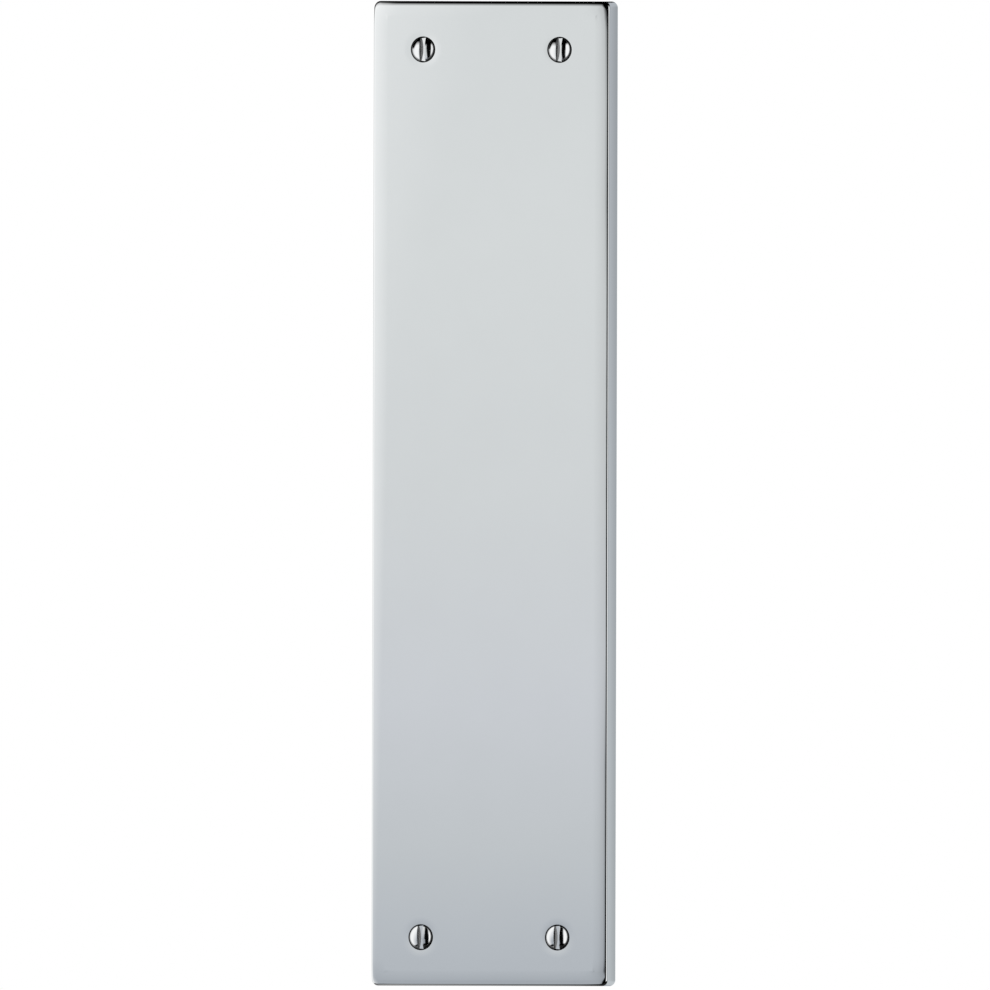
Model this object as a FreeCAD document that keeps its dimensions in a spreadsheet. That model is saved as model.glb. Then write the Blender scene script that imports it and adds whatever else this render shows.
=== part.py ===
"""Door finger plate: a hollow-backed cast plate and the four slotted wood screws that fix it to a door.

Frame: X across the plate, Y through it with the front at -Y, Z up. The origin is the centre of the
back rim, where the plate meets the door. All sizes are in millimetres.
"""

import FreeCAD
import Part
import Sketcher
import math
import os

V = FreeCAD.Vector
OUT = "parts"

# Driving dimensions. Each alias is a cell of the sheet, and every sketch and feature is bound to them.
SIZES = {
    # the plate
    "plate_height": 305.0,
    "plate_width": 77.7,
    "plate_depth": 8.0,
    "face_thickness": 2.2,
    "wall_thickness": 2.4,
    "corner_radius": 2.0,
    "edge_radius": 0.6,
    "roll_width": 5.0,
    "roll_drop": 0.3,
    "flat_corner_radius": 3.0,
    # the hollow back
    "recess_draft": 3.0,
    "recess_corner_radius": 2.5,
    "recess_floor_radius": 1.0,
    "boss_diameter": 12.0,
    "boss_root_chamfer": 0.8,
    # the screw holes
    "hole_inset_x": 16.35,
    "hole_inset_z": 15.0,
    "shank_clearance": 0.3,
    "seat_clearance": 0.05,
    # the screws, No. 8 by 1 inch
    "head_diameter": 7.6,
    "head_raise": 1.15,
    "head_land": 0.2,
    "head_sink": 0.05,
    "shank_diameter": 4.2,
    "thread_diameter": 3.8,
    "screw_length": 25.4,
    "point_length": 5.5,
    "point_radius": 0.25,
    "slot_width": 1.7,
    "slot_depth": 1.5,
    # how far each slot is turned from upright, in degrees
    "slot_turn_top_left": 1.0,
    "slot_turn_top_right": 2.0,
    "slot_turn_bottom_left": -1.0,
    "slot_turn_bottom_right": 0.0,
}

# Which way each screw lies from the plate's centre.
CORNERS = {
    "top_left": (-1, 1),
    "top_right": (1, 1),
    "bottom_left": (-1, -1),
    "bottom_right": (1, -1),
}

# How far each screw stands from the plate's middle, across it and along it.
HOLE_X = "(Sizes.plate_width / 2 - Sizes.hole_inset_x)"
HOLE_Z = "(Sizes.plate_height / 2 - Sizes.hole_inset_z)"

# How far a cutting profile runs past the face it cuts.
OVERCUT = 1.0
# How far the roll runs on past the sides, in widths of the roll, so that it clears the plate's corners.
ROLL_REACH = 1.8
# Two places closer than this are the same place.
SAME = 0.01

doc = FreeCAD.newDocument("door_finger_plate")


def make_sheet():
    """The sheet of driving dimensions, one row for each."""
    sheet = doc.addObject("Spreadsheet::Sheet", "Sizes")
    for row, (alias, value) in enumerate(SIZES.items(), start=1):
        sheet.set(f"A{row}", alias)
        sheet.set(f"B{row}", str(value))
        sheet.setAlias(f"B{row}", alias)
    doc.recompute()
    return sheet


def plane(body, role):
    """One of the body's own origin planes or axes."""
    return next(o for o in body.Origin.OriginFeatures if o.Role == role)


def new_body(name):
    body = doc.addObject("PartDesign::Body", name)
    body.Label = name
    return body


def new_sketch(body, name, role, lift=None):
    """A sketch on an origin plane, lifted off it along its normal by an expression."""
    sketch = body.newObject("Sketcher::SketchObject", name)
    sketch.AttachmentSupport = [(plane(body, role), "")]
    sketch.MapMode = "FlatFace"
    if lift:
        sketch.setExpression("AttachmentOffset.Base.z", lift)
    return sketch


def dimension(sketch, name, constraint, expression):
    """Adds a dimension to a sketch and binds it to the sheet."""
    index = sketch.addConstraint(constraint)
    sketch.renameConstraint(index, name)
    sketch.setExpression(f"Constraints.{name}", expression)


def join(sketch, pairs):
    for pair in pairs:
        sketch.addConstraint(Sketcher.Constraint("Coincident", *pair))


def level(sketch, kind, lines):
    for line in lines:
        sketch.addConstraint(Sketcher.Constraint(kind, line))


def feature(body, kind, name, profile=None, bound=None, **settings):
    """A feature of the body: its profile, the expressions that drive it and its plain settings."""
    made = body.newObject(f"PartDesign::{kind}", name)
    if profile:
        made.Profile = profile
        profile.Visibility = False
    for key, value in settings.items():
        setattr(made, key, value)
    for key, expression in (bound or {}).items():
        made.setExpression(key, expression)
    doc.recompute()
    return made


def cut(body, kind, name, profile, bound=None, **settings):
    """A feature that takes something off the body, and stops the script if it takes nothing."""
    before = body.Tip.Shape.Volume
    made = feature(body, kind, name, profile, bound, **settings)
    if made.Shape.Volume > before - SAME:
        raise RuntimeError(f"{name} cuts nothing")
    return made


def treat_edges(body, kind, name, wanted, bound):
    """A Fillet or a Chamfer on every edge of the body so far for which wanted(edge) is true."""
    base = body.Tip
    edges = [f"Edge{i}" for i, e in enumerate(base.Shape.Edges, start=1) if wanted(e)]
    if not edges:
        raise RuntimeError(f"{name}: no such edge")
    return feature(body, kind, name, bound=bound, Base=(base, edges))


def lies_at(edge, y):
    """Whether the whole edge lies in the plane at this Y."""
    box = edge.BoundBox
    return abs(box.YMin - y) < SAME and abs(box.YMax - y) < SAME


def draw_rounded_rectangle(body, name, width, height, radius, lift=None):
    """A rounded rectangle about the origin, facing forwards.

    The width, the height and the corner radius are each a value and the expression that drives it.
    """
    half_x, half_z, r = width[0] / 2, height[0] / 2, radius[0]
    sketch = new_sketch(body, name, "XZ_Plane", lift)
    corners = [(1, -1), (1, 1), (-1, 1), (-1, -1)]
    centres = [V(x * (half_x - r), z * (half_z - r), 0) for x, z in corners]
    sides = range(4)
    for i in sides:
        angle = math.radians(90 * (i - 1))
        outward = V(math.cos(angle), math.sin(angle), 0) * r
        line = Part.LineSegment(centres[i - 1] + outward, centres[i] + outward)
        sketch.addGeometry(line, False)
    for i in sides:
        angle = math.radians(90 * (i - 1))
        circle = Part.Circle(centres[i], V(0, 0, 1), r)
        arc = sketch.addGeometry(Part.ArcOfCircle(circle, angle, angle + math.pi / 2), False)
        sketch.addConstraint(Sketcher.Constraint("Tangent", i, 2, arc, 1))
        sketch.addConstraint(Sketcher.Constraint("Tangent", arc, 2, (i + 1) % 4, 1))
        if i:
            sketch.addConstraint(Sketcher.Constraint("Equal", 4, arc))
    level(sketch, "Horizontal", (0, 2))
    level(sketch, "Vertical", (1, 3))
    sketch.addConstraint(Sketcher.Constraint("Symmetric", 4, 3, 6, 3, -1, 1))
    dimension(sketch, "radius", Sketcher.Constraint("Radius", 4, r), radius[1])
    across = Sketcher.Constraint("DistanceX", 3, 1, 1, 1, 2 * half_x)
    dimension(sketch, "width", across, width[1])
    upwards = Sketcher.Constraint("DistanceY", 0, 1, 2, 1, 2 * half_z)
    dimension(sketch, "height", upwards, height[1])
    return sketch


def draw_roll(body):
    """What is taken off in front of the roll, from where the face is flat to beyond the plate's corners."""
    start, depth = SIZES["plate_height"] / 2 - SIZES["roll_width"], SIZES["plate_depth"]
    width, drop = SIZES["roll_width"], SIZES["roll_drop"]
    radius = (width**2 + drop**2) / (2 * drop)
    reach = ROLL_REACH * width
    sweep = math.asin(reach / radius)
    sketch = new_sketch(body, "Roll", "YZ_Plane")
    circle = Part.Circle(V(radius - depth, start, 0), V(0, 0, 1), radius)
    arc = Part.ArcOfCircle(circle, math.pi - sweep, math.pi)
    flat_end, low = arc.EndPoint, arc.StartPoint
    front = -depth - OVERCUT
    points = [flat_end, V(front, flat_end.y, 0), V(front, low.y, 0), low]
    sketch.addGeometry(arc, False)
    for before, after in zip(points, points[1:]):
        sketch.addGeometry(Part.LineSegment(before, after), False)
    join(sketch, [(0, 2, 1, 1), (1, 2, 2, 1), (2, 2, 3, 1), (3, 2, 0, 1)])
    level(sketch, "Horizontal", (1, 3))
    level(sketch, "Vertical", (2,))
    sketch.addConstraint(Sketcher.Constraint("Horizontal", 0, 3, 0, 2))
    dimensions = {
        "depth": ("DistanceX", (0, 2, -1, 1), depth, "Sizes.plate_depth"),
        "start": ("DistanceY", (-1, 1, 0, 2), start, "Sizes.plate_height / 2 - Sizes.roll_width"),
        "reach": ("DistanceY", (0, 2, 0, 1), reach, f"{ROLL_REACH} * Sizes.roll_width"),
    }
    for name, (kind, where, value, expression) in dimensions.items():
        dimension(sketch, name, Sketcher.Constraint(kind, *where, value), expression)
    curve = "(Sizes.roll_width ^ 2 + Sizes.roll_drop ^ 2) / (2 * Sizes.roll_drop)"
    dimension(sketch, "radius", Sketcher.Constraint("Radius", 0, radius), curve)
    sketch.addConstraint(Sketcher.Constraint("DistanceX", 1, 2, 0, 2, OVERCUT))
    return sketch


def draw_holes(body, name, diameter, expression, lift=None):
    """Four circles on the screw centres."""
    sketch = new_sketch(body, name, "XZ_Plane", lift)
    x = SIZES["plate_width"] / 2 - SIZES["hole_inset_x"]
    z = SIZES["plate_height"] / 2 - SIZES["hole_inset_z"]
    for index, (corner, (side, end)) in enumerate(CORNERS.items()):
        centre = V(side * x, end * z, 0)
        sketch.addGeometry(Part.Circle(centre, V(0, 0, 1), diameter / 2), False)
        across = (-1, 1, index, 3) if side > 0 else (index, 3, -1, 1)
        along = (-1, 1, index, 3) if end > 0 else (index, 3, -1, 1)
        to_side = Sketcher.Constraint("DistanceX", *across, x)
        dimension(sketch, f"{corner}_x", to_side, HOLE_X)
        to_end = Sketcher.Constraint("DistanceY", *along, z)
        dimension(sketch, f"{corner}_z", to_end, HOLE_Z)
    for index in range(1, len(CORNERS)):
        sketch.addConstraint(Sketcher.Constraint("Equal", 0, index))
    dimension(sketch, "diameter", Sketcher.Constraint("Diameter", 0, diameter), expression)
    return sketch


def make_blank(body):
    """The plate's block: its outline, as deep as the whole plate."""
    outline = draw_rounded_rectangle(
        body,
        "Outline",
        (SIZES["plate_width"], "Sizes.plate_width"),
        (SIZES["plate_height"], "Sizes.plate_height"),
        (SIZES["corner_radius"], "Sizes.corner_radius"),
    )
    feature(body, "Pad", "Blank", outline, {"Length": "Sizes.plate_depth"})


def roll_the_face(body):
    """The soft roll-off of the face towards its edges, and the rounded edge that it runs into.

    The roll follows the flat part of the face, whose corners are rounder than the plate's own, so
    that each corner of the face falls away a little more than its sides, as it does under a buff.
    """
    margin = 2 * SIZES["roll_width"]
    path = draw_rounded_rectangle(
        body,
        "FlatOfFace",
        (SIZES["plate_width"] - margin, "Sizes.plate_width - 2 * Sizes.roll_width"),
        (SIZES["plate_height"] - margin, "Sizes.plate_height - 2 * Sizes.roll_width"),
        (SIZES["flat_corner_radius"], "Sizes.flat_corner_radius"),
        "Sizes.plate_depth",
    )
    cut(body, "SubtractivePipe", "RolledFace", draw_roll(body), Spine=(path, []))
    front = -SIZES["plate_depth"]

    def rims_the_face(edge):
        box = edge.BoundBox
        return box.YMin > front + SAME and box.YMax < front / 2

    treat_edges(body, "Fillet", "FrontEdge", rims_the_face, {"Radius": "Sizes.edge_radius"})


def hollow_the_back(body):
    """The open back: a drafted recess that leaves a wall all round and the thickness of the face."""
    walls = 2 * SIZES["wall_thickness"]
    mouth = draw_rounded_rectangle(
        body,
        "RecessMouth",
        (SIZES["plate_width"] - walls, "Sizes.plate_width - 2 * Sizes.wall_thickness"),
        (SIZES["plate_height"] - walls, "Sizes.plate_height - 2 * Sizes.wall_thickness"),
        (SIZES["recess_corner_radius"], "Sizes.recess_corner_radius"),
    )
    drafted = {
        "Length": "Sizes.plate_depth - Sizes.face_thickness",
        "TaperAngle": "-Sizes.recess_draft",
    }
    cut(body, "Pocket", "Recess", mouth, drafted, Reversed=True)
    floor = SIZES["face_thickness"] - SIZES["plate_depth"]

    def rims_the_floor(edge):
        return lies_at(edge, floor)

    radius = {"Radius": "Sizes.recess_floor_radius"}
    treat_edges(body, "Fillet", "RecessFloor", rims_the_floor, radius)


def add_bosses(body):
    """A round boss behind each screw, from inside the face to the plane of the rim, with a sloped root."""
    across = SIZES["boss_diameter"]
    circles = draw_holes(body, "BossCircles", across, "Sizes.boss_diameter")
    into_the_face = {"Length": "Sizes.plate_depth - Sizes.face_thickness / 2"}
    feature(body, "Pad", "Bosses", circles, into_the_face)
    floor = SIZES["face_thickness"] - SIZES["plate_depth"]

    def rims_a_boss(edge):
        return lies_at(edge, floor) and abs(edge.BoundBox.XLength - across) < SAME

    size = {"Size": "Sizes.boss_root_chamfer"}
    treat_edges(body, "Chamfer", "BossRoots", rims_a_boss, size)


def cut_screw_holes(body):
    """Countersunk clearance holes from the front, in line with the bosses.

    Each seat is parallel to the cone of the screw's head and stands off it by the clearance.
    """
    shank = SIZES["shank_diameter"]
    circles = draw_holes(body, "ScrewHoles", shank, "Sizes.shank_diameter", "Sizes.plate_depth")
    doc.recompute()
    stand_off = "Sizes.head_sink + Sizes.head_land + sqrt(2) * Sizes.seat_clearance"
    across = {
        "Diameter": "Sizes.shank_diameter + 2 * Sizes.shank_clearance",
        "HoleCutDiameter": f"Sizes.head_diameter + 2 * ({stand_off})",
    }
    cut(
        body,
        "Hole",
        "CountersunkHoles",
        circles,
        across,
        ThreadType="None",
        DepthType="ThroughAll",
        HoleCutType="Countersink",
        HoleCutCountersinkAngle=90,
    )


def make_plate():
    """The finger plate: a shallow hollow-backed casting with a boss behind each screw."""
    body = new_body("finger_plate")
    make_blank(body)
    roll_the_face(body)
    hollow_the_back(body)
    add_bosses(body)
    cut_screw_holes(body)
    return body


def draw_screw(body):
    """Half of a screw's outline, from the top of its domed head to its point, beside the Y axis."""
    head, shank = SIZES["head_diameter"] / 2, SIZES["shank_diameter"] / 2
    thread = SIZES["thread_diameter"] / 2
    rim = SIZES["head_sink"] - SIZES["plate_depth"]
    apex = rim - SIZES["head_raise"]
    under = rim + SIZES["head_land"]
    seat = under + head - shank
    tip = rim + SIZES["screw_length"]
    point = tip - SIZES["point_length"]
    blunt = SIZES["point_radius"]
    dome = (head**2 + SIZES["head_raise"] ** 2) / (2 * SIZES["head_raise"])
    sweep = math.asin(head / dome)
    down = -math.pi / 2
    sketch = new_sketch(body, "HalfOutline", "XY_Plane")
    circle = Part.Circle(V(0, apex + dome, 0), V(0, 0, 1), dome)
    sketch.addGeometry(Part.ArcOfCircle(circle, down, down + sweep), False)
    corners = [
        V(head, rim, 0),
        V(head, under, 0),
        V(shank, seat, 0),
        V(shank, thread - shank, 0),
        V(thread, 0, 0),
        V(thread, point, 0),
        V(blunt, tip, 0),
        V(0, tip, 0),
        V(0, apex, 0),
    ]
    for before, after in zip(corners, corners[1:]):
        sketch.addGeometry(Part.LineSegment(before, after), False)
    dome_arc, land, cone, straight, step, envelope, taper, end, axis = range(len(corners))
    lines = [dome_arc, land, cone, straight, step, envelope, taper, end, axis, dome_arc]
    join(sketch, [(before, 2, after, 1) for before, after in zip(lines, lines[1:])])
    level(sketch, "Vertical", (land, straight, envelope, axis))
    level(sketch, "Horizontal", (end,))
    sketch.addConstraint(Sketcher.Constraint("PointOnObject", dome_arc, 3, -2))
    sketch.addConstraint(Sketcher.Constraint("PointOnObject", dome_arc, 1, -2))
    sketch.addConstraint(Sketcher.Constraint("PointOnObject", envelope, 1, -1))
    across = {
        "head": (land, head, "Sizes.head_diameter / 2"),
        "shank": (straight, shank, "Sizes.shank_diameter / 2"),
        "thread": (envelope, thread, "Sizes.thread_diameter / 2"),
        "blunt": (end, blunt, "Sizes.point_radius"),
    }
    for name, (line, value, expression) in across.items():
        radius = Sketcher.Constraint("DistanceX", -1, 1, line, 1, value)
        dimension(sketch, name, radius, expression)
    head_to_shank = "(Sizes.head_diameter - Sizes.shank_diameter) / 2"
    shank_to_thread = "(Sizes.shank_diameter - Sizes.thread_diameter) / 2"
    along = {
        "sink": ((dome_arc, 2, -1, 1), -rim, "Sizes.plate_depth - Sizes.head_sink"),
        "raise": ((dome_arc, 1, dome_arc, 2), rim - apex, "Sizes.head_raise"),
        "land": ((land, 1, land, 2), under - rim, "Sizes.head_land"),
        "cone": ((cone, 1, cone, 2), seat - under, head_to_shank),
        "step": ((step, 1, step, 2), shank - thread, shank_to_thread),
        "point": ((taper, 1, taper, 2), tip - point, "Sizes.point_length"),
        "length": ((dome_arc, 2, taper, 2), tip - rim, "Sizes.screw_length"),
    }
    for name, (where, value, expression) in along.items():
        height = Sketcher.Constraint("DistanceY", *where, value)
        dimension(sketch, name, height, expression)
    return sketch


def draw_slot(body):
    """The end view of the driver slot, from above the dome to the slot's floor."""
    half = SIZES["slot_width"] / 2
    apex = SIZES["head_sink"] - SIZES["plate_depth"] - SIZES["head_raise"]
    floor = apex + SIZES["slot_depth"]
    top = apex - OVERCUT
    sketch = new_sketch(body, "SlotEnd", "XY_Plane")
    corners = [V(-half, top, 0), V(half, top, 0), V(half, floor, 0), V(-half, floor, 0)]
    for i, corner in enumerate(corners):
        sketch.addGeometry(Part.LineSegment(corner, corners[(i + 1) % 4]), False)
    join(sketch, [(0, 2, 1, 1), (1, 2, 2, 1), (2, 2, 3, 1), (3, 2, 0, 1)])
    level(sketch, "Horizontal", (0,))
    level(sketch, "Vertical", (1, 3))
    sketch.addConstraint(Sketcher.Constraint("Symmetric", 2, 1, 2, 2, -2))
    width = Sketcher.Constraint("DistanceX", 0, 1, 0, 2, 2 * half)
    dimension(sketch, "width", width, "Sizes.slot_width")
    above = f"Sizes.slot_depth + {OVERCUT}"
    dimension(sketch, "depth", Sketcher.Constraint("DistanceY", 1, 1, 1, 2, floor - top), above)
    place = "Sizes.plate_depth + Sizes.head_raise - Sizes.head_sink - Sizes.slot_depth"
    dimension(sketch, "place", Sketcher.Constraint("DistanceY", 1, 2, -1, 1, -floor), place)
    return sketch


def make_screw():
    """One slotted raised countersunk wood screw, as it sits in the plate, with its slot upright.

    The thread is its plain envelope, a little under the shank, and starts where the screw enters the door.
    """
    body = new_body("wood_screw")
    axis = (plane(body, "Y_Axis"), [""])
    feature(body, "Revolution", "Turned", draw_screw(body), ReferenceAxis=axis, Angle=360)
    cut(body, "Pocket", "Slot", draw_slot(body), Type="ThroughAll", Midplane=True)
    return body


def place_screws(screw):
    """The four screws on their centres, each slot turned a little its own way."""
    placed = []
    for corner, (side, end) in CORNERS.items():
        link = doc.addObject("App::Link", f"screw_{corner}")
        link.LinkedObject = screw
        link.setExpression("Placement.Base.x", f"{side} * {HOLE_X}")
        link.setExpression("Placement.Base.z", f"{end} * {HOLE_Z}")
        link.Placement.Rotation = FreeCAD.Rotation(V(0, 1, 0), 0)
        link.setExpression("Placement.Rotation.Angle", f"Sizes.slot_turn_{corner} * 1deg")
        placed.append(link)
    group = doc.addObject("Part::Compound", "fixing_screws")
    group.Label = "fixing_screws"
    group.Links = placed
    doc.recompute()
    return group


def check(nodes):
    """Stops the script if any object failed, or if a node's shape is not so many sound solids."""
    for made in doc.Objects:
        if {"Invalid", "Error"} & set(made.State):
            raise RuntimeError(f"{made.Name} failed: {made.State}")
    for node, solids in nodes:
        shape = node.Shape
        if shape.isNull() or not shape.isValid() or len(shape.Solids) != solids:
            raise RuntimeError(f"{node.Label} has no sound shape")
        print(node.Label, len(shape.Solids), "solids", round(shape.Volume, 1), "mm3")


def main():
    make_sheet()
    plate = make_plate()
    screws = place_screws(make_screw())
    nodes = [(plate, 1), (screws, len(CORNERS))]
    doc.recompute()
    check(nodes)
    os.makedirs(OUT, exist_ok=True)
    for node, _ in nodes:
        node.Shape.exportStep(f"{OUT}/{node.Label}.step")


main()
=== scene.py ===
"""A chromed door finger plate with its four raised, slotted fixing screws.

The plate is one hollow-backed casting with a polished face that rolls off gently near its
edges. The screws sit in its four countersunk corners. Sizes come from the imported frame, and
everything stays inside it.
"""

import bmesh
import bpy
import math
from bpy.props import FloatProperty, FloatVectorProperty, IntProperty, PointerProperty
from mathutils import Matrix, Quaternion, Vector


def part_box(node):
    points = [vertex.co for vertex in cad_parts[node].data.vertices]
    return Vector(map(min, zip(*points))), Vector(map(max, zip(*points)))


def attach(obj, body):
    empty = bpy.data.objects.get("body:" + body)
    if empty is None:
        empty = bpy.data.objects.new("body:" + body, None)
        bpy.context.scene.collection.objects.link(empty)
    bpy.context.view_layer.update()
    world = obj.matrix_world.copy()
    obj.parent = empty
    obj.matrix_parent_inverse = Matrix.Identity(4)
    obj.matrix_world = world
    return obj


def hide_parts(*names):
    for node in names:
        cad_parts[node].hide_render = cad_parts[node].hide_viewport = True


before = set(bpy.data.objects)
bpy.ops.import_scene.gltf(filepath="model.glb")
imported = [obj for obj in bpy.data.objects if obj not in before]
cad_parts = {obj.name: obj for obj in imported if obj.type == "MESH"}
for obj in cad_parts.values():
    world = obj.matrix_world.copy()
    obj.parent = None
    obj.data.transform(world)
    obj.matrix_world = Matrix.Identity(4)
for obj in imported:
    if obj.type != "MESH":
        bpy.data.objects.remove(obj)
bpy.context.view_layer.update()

bl_info = {
    "name": "Door finger plate",
    "version": (1, 0, 0),
    "blender": (4, 5, 0),
    "location": "3D View > Sidebar > Finger plate",
    "description": "Makes a chromed door finger plate with its fixing screws",
    "category": "Object",
}

PLATE_LOW, PLATE_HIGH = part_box("finger_plate")
SCREWS_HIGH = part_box("fixing_screws")[1]
# The corners of the plate, each with its side across and its side up.
CORNERS = (
    ("top_left", -1, 1),
    ("top_right", 1, 1),
    ("bottom_left", -1, -1),
    ("bottom_right", 1, -1),
)
# The materials of a piece, by their places in its list.
POLISHED = 0
DULL = 1
# The dark material paints shade: in the seats round the screws' heads and on the slots' walls.
DARK = 2


def length(name, description, default):
    """A length in metres that a user can change."""
    return FloatProperty(
        name=name, description=description, default=default, min=0.0, precision=5,
        unit="LENGTH", subtype="DISTANCE",
    )


def angle(name, description, degrees):
    """An angle that a user can change."""
    return FloatProperty(
        name=name, description=description, default=math.radians(degrees), subtype="ANGLE",
        unit="ROTATION",
    )


def colour(name, description, default):
    """A colour that a user can change."""
    return FloatVectorProperty(
        name=name, description=description, default=default, size=3, min=0.0, max=1.0,
        subtype="COLOR",
    )


def share(name, description, default):
    """A plain number from nothing to all."""
    return FloatProperty(
        name=name, description=description, default=default, min=0.0, max=1.0, subtype="FACTOR",
    )


class PlateSizes(bpy.types.PropertyGroup):
    """Sizes of the cast plate."""

    width: length("Width", "Plate from side to side", PLATE_HIGH.x - PLATE_LOW.x)
    height: length("Height", "Plate from bottom to top", PLATE_HIGH.z - PLATE_LOW.z)
    depth: length("Depth", "Plate from its back rim to its face", PLATE_HIGH.y - PLATE_LOW.y)
    face_thickness: length("Face thickness", "Metal behind the face", 0.0022)
    wall_thickness: length("Wall thickness", "Width of the rim that touches the door", 0.0024)
    corner_radius: length("Corner radius", "Outer corners seen from the front", 0.002)
    edge_radius: length("Edge radius", "Rounding between the face and the sides", 0.0006)
    edge_crisp: length("Edge crisp", "Part of the rounding that turns sharply", 0.00015)
    edge_soft: length("Edge soft radius", "Radius of the softer part of the rounding", 0.0016)
    side_hollow: length("Side hollow", "How far polishing has hollowed the sides", 0.00005)
    buff_width: length("Buff width", "Border at each end that is buffed down more", 0.0017)
    buff_drop: length("Buff drop", "How far that border drops at its edge", 0.000205)
    buff_corner: length("Buff corner", "Corner radius of the part that is not buffed down", 0.0022)
    roll_width: length("Roll width", "Border over which the face rolls off", 0.005)
    roll_drop: length("Roll drop", "How far the face drops over that border", 0.0003)
    flat_corner: length("Flat corner", "Corner radius of the flat part of the face", 0.003)
    recess_corner: length("Recess corner", "Corner radius of the hollow back", 0.0025)
    recess_floor: length("Recess floor radius", "Rounding at the floor of the hollow", 0.001)
    recess_draft: angle("Recess draft", "Slope of the walls of the hollow", 3.0)
    boss_diameter: length("Boss diameter", "Post round each hole on the back", 0.012)
    boss_root: length("Boss root", "Slope where the post meets the hollow's floor", 0.0008)
    hole_inset_x: length("Hole inset across", "Hole centre from the plate's side", 0.01635)
    hole_inset_z: length("Hole inset down", "Hole centre from the plate's end", 0.015)
    bore: length("Bore", "Diameter of the hole behind its countersink", 0.0048)
    mouth: length("Mouth", "Diameter of the countersink at the face", 0.00824)
    lip: length("Lip", "Rounding between the face and the countersink", 0.0002)
    dish_reach: length("Dish reach", "How far the polished dish spreads round a hole", 0.0022)
    dish_depth: length("Dish depth", "How far the polished dish sinks at the hole", 0.0001)


class ScrewSizes(bpy.types.PropertyGroup):
    """Sizes of the raised, slotted countersunk wood screws."""

    head: length("Head", "Diameter of the head", 0.0076)
    head_raise: length("Head raise", "Height of the dome over its rim", 0.00115)
    head_land: length("Head land", "Straight band under the rim", 0.0002)
    head_sink: length("Head sink", "How far the rim sits above the mouth of its seat", 0.00005)
    shank: length("Shank", "Diameter of the plain shank", 0.0042)
    thread: length("Thread", "Diameter over the thread", 0.0038)
    core: length("Core", "Diameter under the thread", 0.0029)
    pitch: length("Pitch", "Step of the thread", 0.0017)
    point: length("Point", "Length of the tapered point", 0.0055)
    slot_width: length("Slot width", "Driver slot from wall to wall", 0.0017)
    slot_depth: length("Slot depth", "Driver slot below the top of the dome", 0.0015)
    slot_dip: length("Slot dip", "How much deeper the middle of the slot's floor lies", 0.0006)
    # The darkened border at the rim is painted shade and dark reflection where head meets seat.
    rim_shade_width: length("Grime width", "Border of the head that grime has darkened", 0.00056)
    turn_top_left: angle("Top left slot", "Turn of this slot from upright", 1.0)
    turn_top_right: angle("Top right slot", "Turn of this slot from upright", 2.0)
    turn_bottom_left: angle("Bottom left slot", "Turn of this slot from upright", -1.0)
    turn_bottom_right: angle("Bottom right slot", "Turn of this slot from upright", 0.0)


class Finishes(bpy.types.PropertyGroup):
    """Colours and polish of the metal, with the dark colours that paint shade in the seats and slots.
    """

    chrome: colour("Chrome", "Polished chrome of the plate", (0.795, 0.81, 0.815))
    screw_chrome: colour("Screw chrome", "Polished chrome of the screws", (0.80, 0.81, 0.815))
    back_metal: colour("Back metal", "Dull plating in the hollow back", (0.46, 0.465, 0.46))
    # Painted shade: the dark seat round each screw's head, also used for the screws' darkened rims.
    seat_shade: colour("Seat metal", "Grimy metal in the seats of the screws", (0.05, 0.05, 0.05))
    # Slot walls: matt plating, and a darker colour that is painted shade in the slots.
    slot_wall_shade: colour("Slot metal", "Tarnished walls of the screws' slots", (0.3, 0.3, 0.3))
    face_roughness: share("Face roughness", "Blur of the plate's polish", 0.045)
    screw_roughness: share("Screw roughness", "Blur of the screws' polish", 0.06)
    back_roughness: share("Back roughness", "Blur of the dull plating", 0.42)


class StudioSettings(bpy.types.PropertyGroup):
    """Camera and light."""

    azimuth: angle("Azimuth", "Camera's turn to the right of the plate's front", 20.0)
    roll: angle("Roll", "Camera's tilt about its own line of sight", 0.15)
    distance: length("Distance", "Camera from the face of the plate", 2.0)
    frame_height: length("Frame", "Height that the picture takes in", 0.30666)
    aim_across: length("Aim across", "Picture's middle to the right of the face's", 0.00153)
    aim_down: length("Aim down", "Picture's middle below the face's", 0.00046)
    tent_radius: length("Tent radius", "Light tent from the plate to its wall", 0.25)
    tent_height: length("Tent height", "Light tent above and below the plate's middle", 0.34)
    card_brightness: FloatProperty(name="Card brightness", description="Light of the white cards",
                                   default=1.13, min=0.0)
    card_lean: FloatProperty(name="Card lean", default=0.053,
                             description="Degrees that the left card leans for each millimetre up")
    floor_size: length("Floor size", "Side of the pale floor", 6.0)
    background: colour("Background", "Colour behind the object", (1.0, 1.0, 1.0))


def mm(value):
    """Metres to millimetres: meshes are shaped in millimetres and scaled at the end."""
    return value * 1000.0


def blend(a, b, part):
    """The value a given part of the way from a to b."""
    return a + (b - a) * part


def everything(bm):
    """All the vertices, edges and faces of a mesh."""
    return bm.verts[:] + bm.edges[:] + bm.faces[:]


def cut_lines(bm, axis, places):
    """Cuts every face where it crosses each of the places along one axis."""
    across = Vector((0, 0, 0))
    across[axis] = 1.0
    for place in sorted(set(round(p, 5) for p in places)):
        bmesh.ops.bisect_plane(
            bm, geom=everything(bm), dist=1e-5, plane_co=across * place, plane_no=across,
        )


def grow(bm, edges, place, finish=POLISHED):
    """Extrudes a chain of edges by one row and puts each new vertex in its place."""
    made = bmesh.ops.extrude_edge_only(bm, edges=edges)["geom"]
    verts = set(g for g in made if isinstance(g, bmesh.types.BMVert))
    row = [
        g for g in made
        if isinstance(g, bmesh.types.BMEdge) and g.verts[0] in verts and g.verts[1] in verts
    ]
    for edge in row:
        for face in edge.link_faces:
            face.material_index = finish
    for vert in verts:
        vert.co = place(vert)
    return row


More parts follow.
